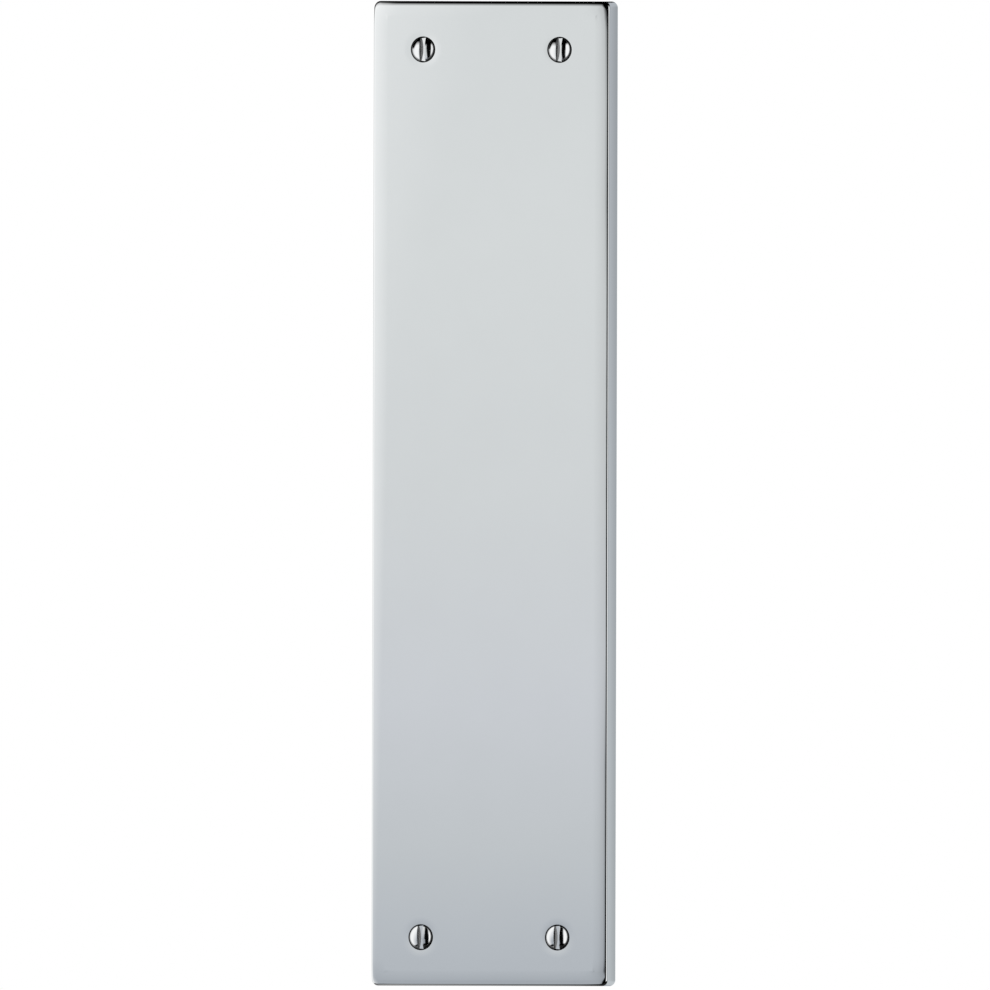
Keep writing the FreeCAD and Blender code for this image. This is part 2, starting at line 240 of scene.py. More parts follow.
def close_up(bm, apart=0.0005):
    """Merges the doubles and turns every face outwards."""
    bmesh.ops.remove_doubles(bm, verts=bm.verts[:], dist=apart)
    bmesh.ops.dissolve_degenerate(bm, dist=apart / 5, edges=bm.edges[:])
    bmesh.ops.recalc_face_normals(bm, faces=bm.faces[:])


def shade(bm, limit=32.0):
    """Smooth faces, with a crease wherever two of them meet at more than the limit."""
    for face in bm.faces:
        face.smooth = True
    for edge in bm.edges:
        if len(edge.link_faces) == 2 and edge.calc_face_angle(0.0) > math.radians(limit):
            edge.smooth = False


def make_object(name, data):
    """Puts a new object into the scene."""
    made = bpy.data.objects.new(name, data)
    bpy.context.scene.collection.objects.link(made)
    return made


def mesh_object(bm, name, materials):
    """Makes an object of a finished mesh."""
    mesh = bpy.data.meshes.new(name)
    bm.to_mesh(mesh)
    bm.free()
    for material in materials:
        mesh.materials.append(material)
    return make_object(name, mesh)


def finish_piece(bm, name, node, materials):
    """Scales the mesh to metres and makes it a piece that stands for its CAD node."""
    bmesh.ops.scale(bm, vec=(0.001, 0.001, 0.001), verts=bm.verts[:])
    open_edges = [edge for edge in bm.edges if not edge.is_manifold]
    if open_edges:
        raise RuntimeError(f"{name} has {len(open_edges)} open edges")
    piece = mesh_object(bm, name, materials)
    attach(piece, "root")
    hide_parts(node)


# The plain block of the face starts this far from the plate's edge.
BLOCK_INSET = 4.6
# Lines across the block lie this far from its corner.
BLOCK_STEPS = (0.2, 0.42, 0.66, 0.92, 1.2, 1.5)
# Half the side of the square that each hole is set in, and the sides of the circles in it.
HOLE_BLOCK = 8.4
HOLE_SIDES = 64
# Rows of the face outside the block, by their distance from the plate's edge.
ROLL_INSETS = (4.2, 3.8, 3.4, 3.0, 2.6, 2.25, 1.95, 1.7, 1.5, 1.3, 1.1, 0.92, 0.76)
# Rows of the rounding between the face and the sides, and the part of them that is soft.
EDGE_ROWS = 15
EDGE_SOFT_PART = 0.4
# The slope of the face at its edge is measured over this distance.
SLOPE_STEP = 0.03
# Rows of the sides, as parts of their depth.
SIDE_PARTS = (0.02, 0.1, 0.2, 0.35, 0.5, 0.65, 0.8, 0.9, 0.98, 1.0)
# Rounding of the rim that touches the door, and its rows by their angle.
RIM_ROUND = 0.2
RIM_TURNS = (30, 60, 90)
# Rows where the rim turns into the hollow: distance from the hollow's wall, and height.
RIM_INSIDE = ((0.22, 0.0), (0.14, 0.0), (0.07, -0.02), (0.02, -0.07))
# Rows of the rounding at the hollow's floor.
FLOOR_ROWS = 6
# Rows that lead from a hole's square to its dish: radius, and how round the row is.
SQUARE_TO_ROUND = ((7.8, 0.3), (7.2, 0.65), (6.8, 0.9))
# The same on the hollow's floor, from the post out to the square.
ROUND_TO_SQUARE = ((7.3, 0.65), (7.8, 0.3), (8.0, 0.0))
# Rows of the dish, as parts of its reach, and of its rolled lip, by their angle.
DISH_PARTS = (0.9, 0.78, 0.66, 0.54, 0.43, 0.34, 0.26, 0.19, 0.14)
LIP_TURNS = (5, 12, 19, 26, 33, 40, 45)
# Painted shade in the seat, round the screw's head, starts at this angle of the lip.
LIP_SHADE_START = 19
# Tolerance when vertices are picked by their place, and when the plate's parts are merged.
NEAR = 1e-4
MERGE_DISTANCE = 0.002


class PlateShape:
    """Works out where the plate's surface lies, in millimetres."""

    def __init__(self, sizes):
        self.half_width = mm(sizes.width) / 2
        self.half_height = mm(sizes.height) / 2
        self.front = -mm(sizes.depth)
        self.floor = self.front + mm(sizes.face_thickness)
        self.wall = mm(sizes.wall_thickness)
        self.corner = mm(sizes.corner_radius)
        self.edge = mm(sizes.edge_radius)
        self.crisp = mm(sizes.edge_crisp)
        self.soft = mm(sizes.edge_soft)
        self.side_hollow = mm(sizes.side_hollow)
        self.buff = mm(sizes.buff_width)
        self.buff_bend = mm(sizes.buff_drop) / self.buff ** 2
        self.buff_corner = mm(sizes.buff_corner)
        self.roll_width = mm(sizes.roll_width)
        drop = mm(sizes.roll_drop)
        self.roll_radius = (self.roll_width ** 2 + drop ** 2) / (2 * drop)
        self.flat_corner = mm(sizes.flat_corner)
        self.recess_corner = mm(sizes.recess_corner)
        self.recess_floor = mm(sizes.recess_floor)
        self.draft = sizes.recess_draft
        self.hole_x = self.half_width - mm(sizes.hole_inset_x)
        self.hole_z = self.half_height - mm(sizes.hole_inset_z)
        self.bore = mm(sizes.bore) / 2
        self.mouth = mm(sizes.mouth) / 2
        self.boss = mm(sizes.boss_diameter) / 2
        self.boss_root = mm(sizes.boss_root)
        self.lip = mm(sizes.lip)
        self.dish_reach = mm(sizes.dish_reach)
        self.dish_depth = mm(sizes.dish_depth)

    def face_y(self, x, z):
        """Height of the face: flat in the middle, rolled off near the edges."""
        across = abs(x) - (self.half_width - self.roll_width - self.flat_corner)
        along = abs(z) - (self.half_height - self.roll_width - self.flat_corner)
        outside = math.hypot(max(across, 0), max(along, 0)) + min(max(across, along), 0)
        beyond = max(outside - self.flat_corner, 0)
        roll = self.roll_radius - math.sqrt(self.roll_radius ** 2 - beyond ** 2)
        across = abs(x) - (self.half_width - self.edge - self.buff_corner)
        along = abs(z) - (self.half_height - self.buff - self.buff_corner)
        buffed = max(math.hypot(max(across, 0), max(along, 0)) - self.buff_corner, 0)
        return self.front + roll + self.buff_bend * buffed ** 2

    def ring(self, along, inset, radius):
        """A place on a quarter of a rounded rectangle, and the way out of it.

        along runs from -1, at the middle of the top, by 0, at the corner, to 1, at the middle
        of the side.
        """
        half = self.half_width if along < 0 else self.half_height
        reach = half - inset - radius
        arc = radius * math.pi / 4
        run = abs(along) * (reach + arc)
        if run < arc:
            turn = math.pi / 4 + math.copysign(run / radius, -along)
            out = Vector((math.cos(turn), 0, math.sin(turn)))
            middle = Vector((self.half_width - inset - radius, 0,
                             self.half_height - inset - radius))
            return middle + out * radius, out
        if along < 0:
            return Vector((reach + arc - run, 0, self.half_height - inset)), Vector((0, 0, 1))
        return Vector((self.half_width - inset, 0, reach + arc - run)), Vector((1, 0, 0))

    def level_place(self, along, inset, radius, height):
        """A place on a rounded rectangle at one height."""
        place = self.ring(along, inset, radius)[0]
        place.y = height
        return place

    def face_place(self, along, inset):
        """A place on the rolled face, the ring's corners opening out towards the edge."""
        radius = (self.corner - self.edge) * (BLOCK_INSET - inset) / (BLOCK_INSET - self.edge)
        place = self.ring(along, inset, max(radius, 0.0))[0]
        place.y = self.face_y(place.x, place.z)
        return place

    def edge_place(self, along, part):
        """A place on the rounding between the face and the side: a soft arc, then a crisp one."""
        place, out = self.ring(along, self.edge, self.corner - self.edge)
        near = place - out * SLOPE_STEP
        place.y = self.face_y(place.x, place.z)
        start = math.atan((place.y - self.face_y(near.x, near.z)) / SLOPE_STEP)
        meet = math.asin(math.sin(start) + (self.edge - self.crisp) / self.soft)
        if part < EDGE_SOFT_PART:
            turn = blend(start, meet, part / EDGE_SOFT_PART)
            place += out * self.soft * (math.sin(turn) - math.sin(start))
            place.y += self.soft * (math.cos(start) - math.cos(turn))
            return place
        sharp = self.crisp / (1 - math.sin(meet))
        turn = blend(meet, math.pi / 2, (part - EDGE_SOFT_PART) / (1 - EDGE_SOFT_PART))
        place += out * (self.edge - self.crisp + sharp * (math.sin(turn) - math.sin(meet)))
        place.y += self.soft * (math.cos(start) - math.cos(meet))
        place.y += sharp * (math.cos(meet) - math.cos(turn))
        return place

    def side_place(self, along, part):
        """A place on the side, which is slightly hollow, from the edge's rounding to the rim's."""
        place = self.edge_place(along, 1.0)
        out = self.ring(along, 0.0, self.corner)[1]
        place.y = blend(place.y, -RIM_ROUND, part)
        return place - out * self.side_hollow * 4 * part * (1 - part)

    def dish_y(self, radius):
        """Height of the face round a hole, where polishing has dished it."""
        part = 1 - (radius - self.mouth) / self.dish_reach
        return self.front + self.dish_depth * max(part, 0) ** 2

    def spacing(self, hole, end):
        """Lines that cross the block: round the hole, close together at its corner."""
        sides = HOLE_SIDES // 8
        turns = [2 * math.pi / HOLE_SIDES * side for side in range(-sides, sides + 1)]
        near = [hole + HOLE_BLOCK * math.tan(turn) for turn in turns]
        corner = [end - step for step in BLOCK_STEPS]
        plain = []
        place = min(near) * 0.5
        while place > 0.5:
            plain.append(place)
            place *= 0.5
        return [p for p in near + corner + plain if 0.1 < p < end - 0.1]


def plate_block(bm, shape):
    """The flat block of a quarter of the face and of the hollow's floor, each with a square gap."""
    end_x = shape.half_width - BLOCK_INSET
    end_z = shape.half_height - BLOCK_INSET
    for height, finish in ((shape.front, POLISHED), (shape.floor, DULL)):
        made = bmesh.ops.create_grid(bm, x_segments=1, y_segments=1, size=0.5)["verts"]
        matrix = Matrix((
            (end_x, 0, 0, end_x / 2), (0, 0, 1, height), (0, end_z, 0, end_z / 2), (0, 0, 0, 1),
        ))
        bmesh.ops.transform(bm, matrix=matrix, verts=made)
        for face in made[0].link_faces:
            face.material_index = finish
    cut_lines(bm, 0, shape.spacing(shape.hole_x, end_x))
    cut_lines(bm, 2, shape.spacing(shape.hole_z, end_z))
    gap = []
    for face in bm.faces:
        middle = face.calc_center_median()
        if max(abs(middle.x - shape.hole_x), abs(middle.z - shape.hole_z)) < HOLE_BLOCK:
            gap.append(face)
    bmesh.ops.delete(bm, geom=gap, context="FACES")
    return end_x, end_z


def chain(bm, height, test):
    """The open edges at one height of the block whose ends all pass a test."""
    return [
        edge for edge in bm.edges
        if edge.is_boundary and all(abs(v.co.y - height) < NEAR and test(v.co) for v in edge.verts)
    ]


def plate_outside(bm, shape, end_x, end_z):
    """Grows the face's border: roll, edge, side, rim and the walls of the hollow."""
    along = bm.verts.layers.float.new("along")

    def on_border(co):
        return co.x > end_x - NEAR or co.z > end_z - NEAR

    row = chain(bm, shape.front, on_border)
    for vert in set(v for edge in row for v in edge.verts):
        if vert.co.z > end_z - NEAR:
            vert[along] = -(end_x - vert.co.x) / end_x
        else:
            vert[along] = (end_z - vert.co.z) / end_z
    for inset in ROLL_INSETS:
        row = grow(bm, row, lambda v: shape.face_place(v[along], inset))
    for step in range(EDGE_ROWS + 1):
        row = grow(bm, row, lambda v: shape.edge_place(v[along], step / EDGE_ROWS))
    for part in SIDE_PARTS:
        row = grow(bm, row, lambda v: shape.side_place(v[along], part))

    def level(inset, corner, height, finish=POLISHED):
        return grow(
            bm, row, lambda v: shape.level_place(v[along], inset, corner - inset, height), finish,
        )

    for turn in RIM_TURNS:
        inset = RIM_ROUND * (1 - math.cos(math.radians(turn)))
        row = level(inset, shape.corner, RIM_ROUND * (math.sin(math.radians(turn)) - 1))
    row = level(RIM_ROUND + 0.08, shape.corner, 0.0)
    corner = shape.wall + shape.recess_corner
    for off, height in RIM_INSIDE:
        row = level(shape.wall - off, corner, height)
    slope = math.tan(shape.draft)
    floor_start = shape.floor + shape.recess_floor
    for height in (-0.15, -0.3, floor_start + 0.4):
        row = level(shape.wall - height * slope, corner, height, DULL)
    middle = shape.wall - floor_start * slope + shape.recess_floor / math.cos(shape.draft)
    for step in range(FLOOR_ROWS + 1):
        turn = blend(shape.draft, math.pi / 2, step / FLOOR_ROWS)
        inset = middle - shape.recess_floor * math.cos(turn)
        row = level(inset, corner, floor_start - shape.recess_floor * math.sin(turn), DULL)
    row = level(middle + 0.1, corner - 0.05, shape.floor, DULL)
    level(BLOCK_INSET, BLOCK_INSET, shape.floor, DULL)


def plate_hole(bm, shape):
    """Grows the hole: dish, countersink, bore and the post behind it."""

    def by_hole(co):
        return max(abs(co.x - shape.hole_x), abs(co.z - shape.hole_z)) < HOLE_BLOCK + 1e-3

    def round_hole(vert, radius, roundness, height):
        out = Vector((vert.co.x - shape.hole_x, 0, vert.co.z - shape.hole_z))
        square = HOLE_BLOCK / max(abs(out.x), abs(out.z)) * out.length
        reach = blend(square, radius, roundness)
        return Vector((shape.hole_x, height, shape.hole_z)) + out.normalized() * reach

    front, floor = shape.front, shape.floor
    rows = [(radius, roundness, front, POLISHED) for radius, roundness in SQUARE_TO_ROUND]
    rows.append((shape.mouth + shape.dish_reach + 0.1, 1.0, front, POLISHED))
    for part in DISH_PARTS:
        radius = shape.mouth + shape.dish_reach * part
        rows.append((radius, 1.0, shape.dish_y(radius), POLISHED))
    low = shape.dish_y(shape.mouth)
    lip_start = shape.mouth - (low - front) + shape.lip * math.tan(math.pi / 8)
    # Past the start angle, the lip and then the top of the bore take the dark seat material: painted
    # shade round the screw's head.
    for turn in LIP_TURNS:
        radius = lip_start - shape.lip * math.sin(math.radians(turn))
        height = low + shape.lip * (1 - math.cos(math.radians(turn)))
        rows.append((radius, 1.0, height, DARK if turn > LIP_SHADE_START else POLISHED))
    cone_end = front + shape.mouth - shape.bore
    boss, root = shape.boss, shape.boss_root
    behind = (
        (shape.bore + 0.1, cone_end - 0.1, DARK), (shape.bore, cone_end, DARK),
        (shape.bore, -0.12, DULL), (shape.bore + 0.12, 0.0, DULL),
        (boss - 0.2, 0.0, DULL), (boss - 0.06, -0.04, DULL), (boss, -0.2, DULL),
        (boss, floor + root + 0.1, DULL), (boss + 0.04, floor + root - 0.1, DULL),
        (boss + root - 0.1, floor + 0.04, DULL), (boss + root + 0.1, floor, DULL),
    )
    rows += [(radius, 1.0, height, finish) for radius, height, finish in behind]
    rows += [(radius, roundness, floor, DULL) for radius, roundness in ROUND_TO_SQUARE]
    row = chain(bm, front, by_hole)
    for radius, roundness, height, finish in rows:
        row = grow(bm, row, lambda v: round_hole(v, radius, roundness, height), finish)


class FINGERPLATE_OT_plate(bpy.types.Operator):
    """Make the polished plate with its hollow back"""

    bl_idname = "finger_plate.make_plate"
    bl_label = "Make the plate"
    bl_options = {"REGISTER", "UNDO"}

    def execute(self, context):
        shape = PlateShape(context.scene.finger_plate_sizes)
        finishes = context.scene.finger_plate_finishes
        bm = bmesh.new()
        end_x, end_z = plate_block(bm, shape)
        plate_outside(bm, shape, end_x, end_z)
        plate_hole(bm, shape)
        bmesh.ops.remove_doubles(bm, verts=bm.verts[:], dist=MERGE_DISTANCE)
        for axis in ("X", "Z"):
            bmesh.ops.mirror(bm, geom=everything(bm), axis=axis, merge_dist=MERGE_DISTANCE)
        close_up(bm)
        shade(bm)
        materials = [
            polished_chrome("plate_polish", finishes.chrome, finishes.face_roughness,
                            fineness=60.0, ripple=0.004),
            dull_plating("hollow_plating", finishes.back_metal, finishes.back_roughness),
            # The seat's dark colour is painted shade in the gap round each screw's head.
            dull_plating("seat_grime", finishes.seat_shade, roughness=0.5),
        ]
        finish_piece(bm, "finger_plate_casting", "finger_plate", materials)
        return {"FINISHED"}


# Lines along the slot's floor, as parts of half its width.
SLOT_PARTS = (0.0, 0.2, 0.41, 0.52, 0.62, 0.71, 0.79, 0.86, 0.92, 0.96, 0.985)
# Lines beside the slot, by their distance from its walls.
SLOT_STEPS = (0.0, 0.02, 0.05, 0.08, 0.25)
# Lines across the dome, as parts of its half width.
DOME_PARTS = (0.0, 0.12, 0.24, 0.36, 0.48, 0.6, 0.7, 0.79, 0.87, 0.925, 0.958, 0.972, 0.984, 0.994)
# Easing of the slot's edges: how wide and how deep it is.
EASED_WIDTH = 0.08
EASED_DROP = 0.06
# Rounding of the head's rim.
RIM_RADIUS = 0.22
# The slot's floor: radius of its hollow, where that is deepest, and radius at the walls' feet.
FLOOR_BEND = 2.0
FLOOR_MIDDLE = -0.2
FOOT_RADIUS = 0.5
# The foot stops a little short of upright.
FOOT_SHARE = 0.97
# Painted shade and dark reflection round the head's rim: how much wider it is at the bottom,
# how much of it is soft, and its share on the left of what it is on the right.
RIM_SHADE_LEAN = 0.5
RIM_SHADE_SOFT = 0.45
RIM_SHADE_LEFT = 0.7
# Length of the blunt tip, and radii of the core and of the thread's crest where it starts.
TIP_LENGTH = 0.1
TIP_CORE = 0.16
TIP_CREST = 0.22
# The thread: where it starts, how far it reaches into the core, how wide its foot and its
# crest are on each side, and the steps of a turn.
THREAD_START = 0.2
THREAD_ROOT = 0.14
THREAD_FOOT = 0.42
THREAD_CREST = 0.05
THREAD_STEPS = 24


class ScrewShape:
    """Works out where a screw's surface lies, in millimetres, round its own axis."""

    def __init__(self, sizes, front):
        self.rim = mm(sizes.head) / 2
        self.rim_y = front + mm(sizes.head_sink)
        self.raised = mm(sizes.head_raise)
        self.dome = (self.rim ** 2 + self.raised ** 2) / (2 * self.raised)
        self.land = mm(sizes.head_land)
        self.shank = mm(sizes.shank) / 2
        self.thread = mm(sizes.thread) / 2
        self.core = mm(sizes.core) / 2
        self.pitch = mm(sizes.pitch)
        self.tip_y = mm(SCREWS_HIGH.y)
        self.point_y = self.tip_y - mm(sizes.point)
        self.slot = mm(sizes.slot_width) / 2
        self.slot_y = self.rim_y - self.raised + mm(sizes.slot_depth)
        self.slot_dip = mm(sizes.slot_dip)
        self.grime = mm(sizes.rim_shade_width)

    def cone(self, height):
        """Radius of the seat under the head at a height."""
        return self.rim - (height - self.rim_y - self.land)

    def dome_y(self, x, z):
        """Height of the dome, eased down at the slot's edges and at the rim."""
        radius = math.hypot(x, z)
        height = self.rim_y - self.raised + self.dome
        height -= math.sqrt(max(self.dome ** 2 - radius ** 2, 0))
        from_slot = abs(x) - self.slot
        if from_slot < EASED_WIDTH:
            height += EASED_DROP * (1 - max(from_slot, 0) / EASED_WIDTH) ** 2
        inside = RIM_RADIUS - max(self.rim - radius, 0)
        if inside > 0:
            height += RIM_RADIUS - math.sqrt(RIM_RADIUS ** 2 - inside ** 2)
        return height

    def floor_y(self, x):
        """Height of the slot's floor: slightly hollow, and rounded at the feet of its walls."""
        height = self.slot_y + self.slot_dip - (x - FLOOR_MIDDLE) ** 2 / (2 * FLOOR_BEND)
        inside = abs(x) - (self.slot - FOOT_RADIUS)
        if inside > 0:
            height -= FOOT_RADIUS - math.sqrt(FOOT_RADIUS ** 2 - FOOT_SHARE * inside ** 2)
        return height

    def rim_shade_at(self, x, y, z):
        """How much painted shade and dark reflection darken the dome, from 0 to 1: at its rim, most low
        down and right.
        """
        if y > self.rim_y + RIM_RADIUS + 0.01:
            return 0.0
        width = self.grime * (1 - RIM_SHADE_LEAN * z / self.rim)
        part = (math.hypot(x, z) - self.rim + width) / (width * RIM_SHADE_SOFT)
        return min(max(part, 0.0), 1.0) * blend(RIM_SHADE_LEFT, 1.0, 0.5 + x / (2 * self.rim))

    def taper(self, height):
        """How far down the point a height lies, from 0 to 1."""
        run = self.tip_y - TIP_LENGTH - self.point_y
        return min(max(height - self.point_y, 0) / run, 1)

    def core_at(self, height):
        """Radius of the threaded core at a height."""
        return blend(self.core, TIP_CORE, self.taper(height))

    def crest_at(self, height):
        """Radius of the thread's crest at a height: it grows from the shank and ends in the point."""
        full = blend(self.thread, TIP_CREST, self.taper(height))
        grown = min(max((height - THREAD_START) / (self.pitch * 0.8), 0.03), 1)
        return blend(self.core_at(height), full, grown)


def screw_head(bm, shape):
    """The dome as a grid cut along the slot, then the rim and the seat down to the slot's floor."""
    made = bmesh.ops.create_grid(bm, x_segments=1, y_segments=1, size=1.0)["verts"]
    bmesh.ops.rotate(bm, verts=made, cent=(0, 0, 0), matrix=Matrix.Rotation(math.pi / 2, 3, "X"))
    across = [part * shape.slot for part in SLOT_PARTS]
    across += [shape.slot + step for step in SLOT_STEPS]
    outer = [shape.rim * math.sin(math.radians(turn)) for turn in (*range(10, 90, 5), 87.5)]
    across += [place for place in outer if place > shape.slot + 0.4]
    cut_lines(bm, 0, [side * place / shape.rim for place in across for side in (-1, 1)])
    cut_lines(bm, 2, [side * part for part in DOME_PARTS for side in (-1, 1)])
    for vert in bm.verts:
        x = vert.co.x * shape.rim
        z = vert.co.z * math.sqrt(max(shape.rim ** 2 - x ** 2, 0))
        vert.co = Vector((x, shape.dome_y(x, z), z))
    bmesh.ops.remove_doubles(bm, verts=bm.verts[:], dist=0.001)
    row = [edge for edge in bm.edges if edge.is_boundary]

    def ring(vert, radius, height):
        turn = math.atan2(abs(vert.co.x), abs(vert.co.z))
        here = math.asin(min(shape.slot / math.hypot(vert.co.x, vert.co.z), 1))
        there = math.asin(shape.slot / radius)
        if turn < here:
            turn *= there / here
        else:
            turn = blend(there, math.pi / 2, (turn - here) / (math.pi / 2 - here))
        x = math.copysign(radius * math.sin(turn), vert.co.x)
        z = math.copysign(radius * math.cos(turn), vert.co.z)
        return Vector((x, height, z))

    row = grow(bm, row, lambda v: ring(v, shape.rim, shape.rim_y + shape.land))
    grow(bm, row, lambda v: ring(v, shape.cone(shape.slot_y), shape.slot_y))


def cut_slot(bm, shape):
    """Takes out the faces over the slot, then gives it two walls and a floor."""
    near = 1e-3

    def at_floor(vert):
        return abs(vert.co.y - shape.slot_y) < near

    inside = []
    for face in bm.faces:
        middle = face.calc_center_median()
        if abs(middle.x) < shape.slot - near and middle.y < shape.slot_y - near:
            inside.append(face)
    bmesh.ops.delete(bm, geom=inside, context="FACES")
    walls = []
    feet = []
    for side in (-1, 1):
        wall = [
            edge for edge in bm.edges
            if all(abs(v.co.x - side * shape.slot) < near for v in edge.verts)
            and edge.is_boundary and min(v.co.y for v in edge.verts) < shape.slot_y - near
        ]
        ends = [vert for vert in set(v for edge in wall for v in edge.verts) if at_floor(vert)]
        foot = bm.edges.new(ends)
        walls += bmesh.ops.contextual_create(bm, geom=wall + [foot])["faces"]
        feet.append(foot)
    ends = [
        edge for edge in bm.edges
        if edge not in feet and len(edge.link_faces) == 1
        and all(abs(v.co.x) < shape.slot + near and at_floor(v) for v in edge.verts)
    ]
    floor = bmesh.ops.contextual_create(bm, geom=feet + ends)["faces"]
    bottom = list(floor[0].verts)
    for place in sorted(set(side * part * shape.slot for part in SLOT_PARTS for side in (-1, 1))):
        pair = [vert for vert in bottom if abs(vert.co.x - place) < near]
        bmesh.ops.connect_vert_pair(bm, verts=pair)
    for vert in bottom:
        vert.co.y = shape.floor_y(vert.co.x)
        end = math.sqrt(shape.cone(vert.co.y) ** 2 - vert.co.x ** 2)
        vert.co.z = math.copysign(end, vert.co.z)
    # The walls take the dark slot material, whose colour is painted shade in the slot.
    for face in walls:
        face.material_index = DARK
    return walls


def screw_shank(bm, shape, row):
    """The rest of the seat, the plain shank and the core under the thread, down to the point."""
    seat_end = shape.rim_y + shape.land + shape.rim - shape.shank
    tip_start = shape.tip_y - TIP_LENGTH
    rows = [(shape.shank, seat_end), (shape.shank, -0.2), (shape.core, 0.35)]
    rows.append((shape.core, shape.point_y))
    for step in (0.25, 0.5, 0.75, 1.0):
        height = blend(shape.point_y, tip_start, step)
        rows.append((shape.core_at(height), height))
    rows.append((0.1, shape.tip_y - 0.03))

    def plain(vert, radius, height):
        out = Vector((vert.co.x, 0, vert.co.z)).normalized() * radius
        out.y = height
        return out

    for radius, height in rows:
        row = grow(bm, row, lambda v: plain(v, radius, height), DULL)
    grow(bm, row, lambda v: Vector((0, shape.tip_y, 0)), DULL)


def screw_thread(bm, shape):
    """A ridge wound round the core in a helix, which fades in and follows the point's taper."""
    old = set(bm.verts)
    turns = (shape.tip_y - 0.25 - THREAD_START) / shape.pitch
    steps = int(turns * THREAD_STEPS)
    foot = shape.core - THREAD_ROOT
    outline = (
        (foot, -THREAD_FOOT), (shape.thread, -THREAD_CREST),
        (shape.thread, THREAD_CREST), (foot, THREAD_FOOT),
    )
    verts = [bm.verts.new((radius, THREAD_START + off, 0)) for radius, off in outline]
    face = bm.faces.new(verts)
    bmesh.ops.spin(
        bm, geom=[face] + face.edges[:] + verts, cent=(0, 0, 0), axis=(0, 1, 0),
        dvec=(0, turns * shape.pitch / steps, 0), angle=-turns * 2 * math.pi, steps=steps,
    )
    for vert in bm.verts:
        if vert in old:
            continue
        out = Vector((vert.co.x, 0, vert.co.z))
        height = min(vert.co.y, shape.tip_y - 0.05)
        crest = (out.length - shape.core) / (shape.thread - shape.core)
        place = out.normalized() * blend(shape.core_at(height), shape.crest_at(height), crest)
        place.y = height
        vert.co = place
    for made in bm.faces:
        if not any(v in old for v in made.verts):
            made.material_index = DULL


class FINGERPLATE_OT_screws(bpy.types.Operator):
    """Make the four raised, slotted fixing screws"""

    bl_idname = "finger_plate.make_screws"
    bl_label = "Make the screws"
    bl_options = {"REGISTER", "UNDO"}

    def execute(self, context):
        sizes = context.scene.finger_plate_screws
        plate = PlateShape(context.scene.finger_plate_sizes)
        finishes = context.scene.finger_plate_finishes
        shape = ScrewShape(sizes, plate.front)
        materials = [
            # The screws' chrome darkens at the rim in the seat's dark colour, as painted shade.
            polished_chrome("screw_polish", finishes.screw_chrome, finishes.screw_roughness,
                            fineness=140.0, ripple=0.002, grime=finishes.seat_shade),
            dull_plating("screw_plating", finishes.screw_chrome, roughness=0.22),
            # Slot walls: matt plating, with a darker colour as painted shade.
            dull_plating("slot_tarnish", finishes.slot_wall_shade, roughness=0.3),
        ]
        for name, side, up in CORNERS:
            bm = bmesh.new()
            screw_head(bm, shape)
            walls = cut_slot(bm, shape)
            screw_shank(bm, shape, [edge for edge in bm.edges if edge.is_boundary])
            close_up(bm, 0.0001)
            screw_thread(bm, shape)
            bmesh.ops.recalc_face_normals(bm, faces=bm.faces[:])
            shade(bm, 30.0)
            for face in walls:
                if face.is_valid:
                    for edge in face.edges:
                        edge.smooth = False
            # Painted shade and dark reflection at each head's rim, kept as a vertex attribute.
            grime = bm.verts.layers.float.new("grime")
            for vert in bm.verts:
                vert[grime] = shape.rim_shade_at(*vert.co)
            turn = Matrix.Rotation(getattr(sizes, "turn_" + name), 3, "Y")
            bmesh.ops.rotate(bm, verts=bm.verts[:], cent=(0, 0, 0), matrix=turn)
            place = Vector((side * plate.hole_x, 0, up * plate.hole_z))
            bmesh.ops.translate(bm, verts=bm.verts[:], vec=place)
            finish_piece(bm, "screw_" + name, "fixing_screws", materials)
        return {"FINISHED"}


def feed(tree, socket, value):
    """Gives a node's input a link, a plain number or a plain colour."""
    if isinstance(value, bpy.types.NodeSocket):
        tree.links.new(value, socket)
    elif socket.type == "RGBA":
        socket.default_value = (*value, 1.0)
    else:
        socket.default_value = value


def connect(tree, node, **values):
    """Feeds a node's inputs by their names, a space written as an underscore."""
    for name, value in values.items():
        feed(tree, node.inputs[name.replace("_", " ")], value)
    return node


def add(tree, kind, **values):
    """A shader node with its settings, which have small letters, and its inputs."""
    node = tree.nodes.new(kind)
    for name, value in values.items():
        if name.islower():
            setattr(node, name, value)
        else:
            connect(tree, node, **{name: value})
    return node


def math_node(tree, operation, first, second=None, third=None, clamp=False):
    """A Math node fed by sockets or plain numbers."""
    node = add(tree, "ShaderNodeMath", operation=operation, use_clamp=clamp)
    for socket, value in zip(node.inputs, (first, second, third)):
        if value is not None:
            feed(tree, socket, value)
    return node.outputs[0]


def mix_node(tree, part, first, second, how="MIX"):
    """Mixes or multiplies two colours. Each of the three values is a socket or plain."""
    node = add(tree, "ShaderNodeMix", data_type="RGBA", blend_type=how)
    for index, value in ((0, part), (6, first), (7, second)):
        feed(tree, node.inputs[index], value)
    return node.outputs[2]


def ramp_node(tree, source, low, high, stops):
    """A colour ramp read over a range of values; each stop is a place in it and a brightness.

    A brightness is a number from 0 to 1, or three of them for a colour.
    """
    part = math_node(tree, "SUBTRACT", source, low)
    part = math_node(tree, "DIVIDE", part, high - low)
    ramp = add(tree, "ShaderNodeValToRGB", Fac=part)
    marks = ramp.color_ramp.elements
    while len(marks) < len(stops):
        marks.new(0.5)
    for mark, (place, bright) in zip(marks, sorted(stops)):
        mark.position = (place - low) / (high - low)
        mark.color = (*bright, 1.0) if isinstance(bright, tuple) else (bright, bright, bright, 1.0)
    return ramp.outputs["Color"]


# Polishing marks: how much finer the grain is than the clouds, how it is drawn out along the
# plate, and how much darker a cloud makes the metal.
GRAIN_FINENESS = 22.0
GRAIN_STRETCH = (1.0, 1.0, 0.12)
CLOUD_TONE = 0.03
